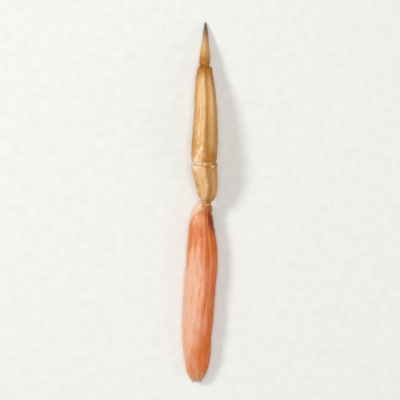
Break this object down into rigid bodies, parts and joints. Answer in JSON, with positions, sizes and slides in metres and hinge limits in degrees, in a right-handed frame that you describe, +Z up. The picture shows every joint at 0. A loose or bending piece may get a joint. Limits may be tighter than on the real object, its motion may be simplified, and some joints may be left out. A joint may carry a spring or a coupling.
{
  "type": "snow crab leg",
  "caption": "Cooked snow crab leg, its thigh peeled to bare meat and its shell kept from the knee to the claw tip, lying flat, ready to eat or warm through.",
  "frame": {"origin": "middle of the flat spot under the bare meat, on the surface that the leg lies on", "axes": "+Y along the leg from the cut end of the meat to the claw tip, +Z up, +X to the right seen from above with the tip pointing away"},
  "size_m": [0.0149, 0.1497, 0.0156],
  "materials": {
    "meat": "moist muscle, salmon over pale pink, with lengthwise fibres",
    "membrane": "thin moist skin, cream to amber",
    "shell": "cooked crab shell, cream and ochre, finely granular and half glossy"
  },
  "bodies": {
    "root": {"merus_meat": "meat", "knee_collar": "membrane", "carpus": "shell", "wrist_membrane": "membrane", "propodus": "shell", "ankle_membrane": "membrane", "dactylus": "shell"}
  },
  "joints": []
}
